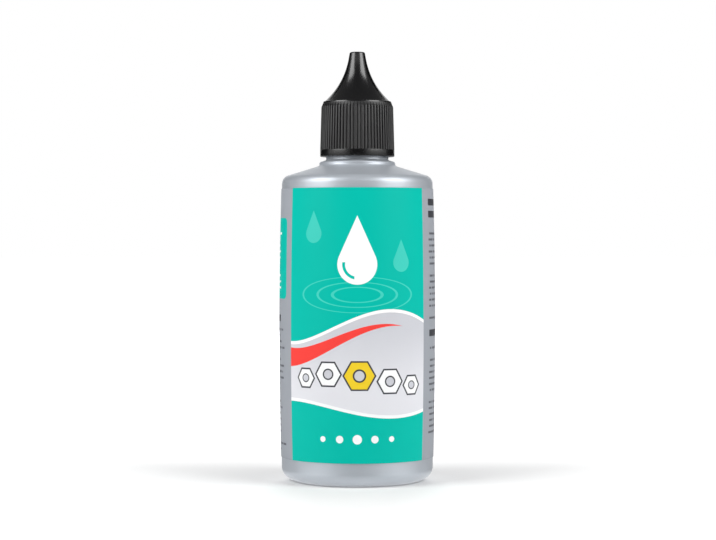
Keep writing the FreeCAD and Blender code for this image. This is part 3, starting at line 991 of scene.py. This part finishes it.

# %% [markdown]
# The floor is a pale sheet that takes the bottle's soft shadow. The camera sees it lifted to white with the
# distance, so it runs into the backdrop without an edge. More light would do that too, but it would wash out
# the bottle. In reflections it has a darker colour, a painted shade that dims what the bottle's lower wall
# mirrors.

# %% Floor
FLOOR_SIZE = 6.0
FLOOR_GAP = 0.02
FLOOR_PALE = screen(225, 225, 225)
FLOOR_SHADED_IN_REFLECTIONS = screen(170, 170, 170)
LIFT_NEAR = (0.03, 0.1)
LIFT_FAR = (0.25, 1.0)


def seen(tree):
    """1 for rays from the camera, and 1 for rays in reflections and through glass."""
    path = tree.nodes.new("ShaderNodeLightPath").outputs
    return path["Is Camera Ray"], calc(tree, "MAXIMUM", path["Is Glossy Ray"], path["Is Transmission Ray"])


def on_stage(bm, name, material):
    """Make a stage object of a bmesh; the stage isn't part of the bottle."""
    mesh = bpy.data.meshes.new(name)
    bm.to_mesh(mesh)
    bm.free()
    mesh.materials.append(material)
    sheet = bpy.data.objects.new(name, mesh)
    bpy.context.scene.collection.objects.link(sheet)
    return sheet


floor_material, tree, shader, place = plastic("floor", Roughness=0.9, Specular_IOR_Level=0)
camera_rays, mirror_rays = seen(tree)
# Painted shade: reflections see the floor in a darker colour than the camera does.
tree.links.new(ink_over(tree, FLOOR_PALE, mirror_rays, FLOOR_SHADED_IN_REFLECTIONS), shader.inputs["Base Color"])
from_axis = vector(tree, "LENGTH", place)
lift = calc(tree, "MULTIPLY", camera_rays, graded(tree, from_axis, LIFT_NEAR, LIFT_FAR))
floor_mesh = bmesh.new()
under_foot = Matrix.Translation((0, 0, -FLOOR_GAP * MM))
bmesh.ops.create_grid(floor_mesh, x_segments=1, y_segments=1, size=FLOOR_SIZE, matrix=under_foot)
on_stage(floor_mesh, "floor", floor_material)
print("floor:", len(tree.nodes), "nodes so far")

# %% [markdown]
# The heel mirrors the table that the bottle stands on. There a bright ring lies round the foot, and two
# bright patches lie in front of the soft boxes. Both are painted reflections: the floor glows there for
# reflected rays only, in place of lamps mirrored in a glossy table. A glossy floor would mirror the lamps
# itself, but it would mirror the bottle too. These show in reflections only, so they light nothing and leave
# the floor plain.

# %% Floor in reflections
MIRROR_NEAR = (0.022, 1.08)
MIRROR_FAR = (0.032, 0.0)
PATCH_AZIMUTH = math.radians(46)
PATCH_SPREAD = math.radians(38)
PATCH_REACH = 0.039
PATCH_DEPTH = 0.016
PATCH_GLOW = 2.6


def peak(tree, value, middle, half_width):
    """1 at a middle value, and evenly down to 0 on both sides of it."""
    away = calc(tree, "ABSOLUTE", calc(tree, "SUBTRACT", value, middle))
    return calc(tree, "MULTIPLY_ADD", away, -1 / half_width, 1, clamp=True)


x, y, z = axes_of(tree, place)
azimuth = calc(tree, "ARCTAN2", calc(tree, "ABSOLUTE", x), calc(tree, "MULTIPLY", y, -1))
in_azimuth = peak(tree, azimuth, PATCH_AZIMUTH, PATCH_SPREAD)
in_painted_patch = calc(tree, "MULTIPLY", in_azimuth, peak(tree, from_axis, PATCH_REACH, PATCH_DEPTH))
# Painted reflections: the ring round the foot and the two patches glow for reflected rays only.
glow = calc(tree, "MULTIPLY_ADD", in_painted_patch, PATCH_GLOW, graded(tree, from_axis, MIRROR_NEAR, MIRROR_FAR))
lift = calc(tree, "MULTIPLY_ADD", mirror_rays, glow, lift)
shader.inputs["Emission Color"].default_value = (1, 1, 1, 1)
tree.links.new(lift, shader.inputs["Emission Strength"])
print("floor:", len(tree.nodes), "nodes")

# %% [markdown]
# The backdrop is the world itself. The camera and the reflections see a white wall that turns grey overhead,
# as in a studio with a dark ceiling, but its light on the bottle is dim, so the lamps shape the bottle.

# %% White surroundings
AMBIENT = 0.15
WALL_TOP = (math.sin(math.radians(24)), 1)
CEILING_FROM = (math.sin(math.radians(38)), 0.15)

world = bpy.data.worlds.new("studio")
bpy.context.scene.world = world
world.use_nodes = True
tree = world.node_tree
backdrop = tree.nodes["Background"]
backdrop.inputs["Color"].default_value = (1, 1, 1, 1)
direction = tree.nodes.new("ShaderNodeTexCoord").outputs["Generated"]
x, y, z = axes_of(tree, direction)
above_ambient = calc(tree, "SUBTRACT", graded(tree, z, WALL_TOP, CEILING_FROM), AMBIENT)
strength = calc(tree, "MULTIPLY_ADD", calc(tree, "MAXIMUM", *seen(tree)), above_ambient, AMBIENT)
tree.links.new(strength, backdrop.inputs["Strength"])
print("world:", len(tree.nodes), "nodes")

# %% [markdown]
# Two soft boxes stand to the left and right of the camera, a little above the bottle. They give the bright
# upright bands on both sides of the bottle and leave its middle a touch darker. A fill from behind lightens
# the far side, and it is kept out of reflections, where it would draw a hard bright rim.

# %% Lamps
LAMP_AIM = Vector((0, 0, 0.065))


def soft_box(name, azimuth, elevation, distance, width, height, power):
    """An area lamp that faces the bottle; azimuth 0 is where the camera stands."""
    side, rise = math.radians(azimuth), math.radians(elevation)
    away = Vector((math.sin(side) * math.cos(rise), -math.cos(side) * math.cos(rise), math.sin(rise)))
    lamp = bpy.data.lights.new(name, "AREA")
    lamp.shape = "RECTANGLE"
    lamp.size = width
    lamp.size_y = height
    lamp.energy = power
    box = bpy.data.objects.new(name, lamp)
    box.visible_camera = False
    box.location = LAMP_AIM + away * distance
    box.rotation_euler = away.to_track_quat("Z", "Y").to_euler()
    bpy.context.scene.collection.objects.link(box)
    return box


lamps = [
    soft_box("soft_box_left", azimuth=-61, elevation=32, distance=0.7, width=0.46, height=0.52, power=4.3),
    soft_box("soft_box_right", azimuth=61, elevation=31, distance=0.7, width=0.46, height=0.48, power=4.2),
    soft_box("back_fill", azimuth=180, elevation=20, distance=0.9, width=0.5, height=0.35, power=6.0),
]
lamps[-1].visible_glossy = False
print("lamps:", [lamp.name for lamp in lamps])

# %% [markdown]
# In a white room a round, shiny thing loses its edges. So dark cards stand where the camera is and at both
# sides towards the back: the camera looks through them, but the plastic mirrors them and gets its darker
# middle and edges.

# %% Dark cards
CARD = screen(28, 28, 28)
card_material, tree, shader, place = plastic("card", Base_Color=CARD, Roughness=0.9, Specular_IOR_Level=0)


def dark_card(name, azimuth, distance, width, height):
    """An upright card on the floor that faces the bottle and that the camera can't see."""
    bm = bmesh.new()
    bmesh.ops.create_grid(bm, x_segments=1, y_segments=1, size=0.5)
    bmesh.ops.scale(bm, verts=bm.verts, vec=(width, height, 1))
    upright = Matrix.Rotation(math.pi / 2, 3, "X")
    bmesh.ops.rotate(bm, verts=bm.verts, cent=(0, 0, 0), matrix=upright)
    bmesh.ops.translate(bm, verts=bm.verts, vec=(0, -distance, height / 2))
    around = Matrix.Rotation(math.radians(azimuth), 3, "Z")
    bmesh.ops.rotate(bm, verts=bm.verts, cent=(0, 0, 0), matrix=around)
    card = on_stage(bm, name, card_material)
    card.visible_camera = False
    return card


cards = [
    dark_card("card_front", azimuth=0, distance=0.8, width=0.9, height=0.42),
    dark_card("card_left", azimuth=-129, distance=1.0, width=1.1, height=0.8),
    dark_card("card_right", azimuth=129, distance=1.0, width=1.1, height=0.8),
]
print("dark cards:", [card.name for card in cards])

# %% [markdown]
# The camera stands level with the upper part of the label and looks down a little, far enough away for a
# calm perspective. Its lens follows from the distance and from the size of a pixel on the bottle.

# %% Camera and colour
SENSOR = 36.0
PICTURE_WIDTH = 716
MM_PER_PIXEL = 0.286
DISTANCE = 0.6007
EYE_HEIGHT = 0.0698
AIM_HEIGHT = 0.0601
ASIDE = 0.0002

camera_data = bpy.data.cameras.new("camera")
camera_data.sensor_width = SENSOR
camera_data.lens = SENSOR * DISTANCE / (PICTURE_WIDTH * MM_PER_PIXEL * MM)
camera = bpy.data.objects.new("camera", camera_data)
camera.location = (ASIDE, -DISTANCE, EYE_HEIGHT)
sight = Vector((ASIDE, 0, AIM_HEIGHT)) - camera.location
camera.rotation_euler = sight.to_track_quat("-Z", "Y").to_euler()
bpy.context.scene.collection.objects.link(camera)
bpy.context.scene.camera = camera
bpy.context.scene.view_settings.view_transform = "Standard"
print(f"camera lens {camera_data.lens:.1f} mm")
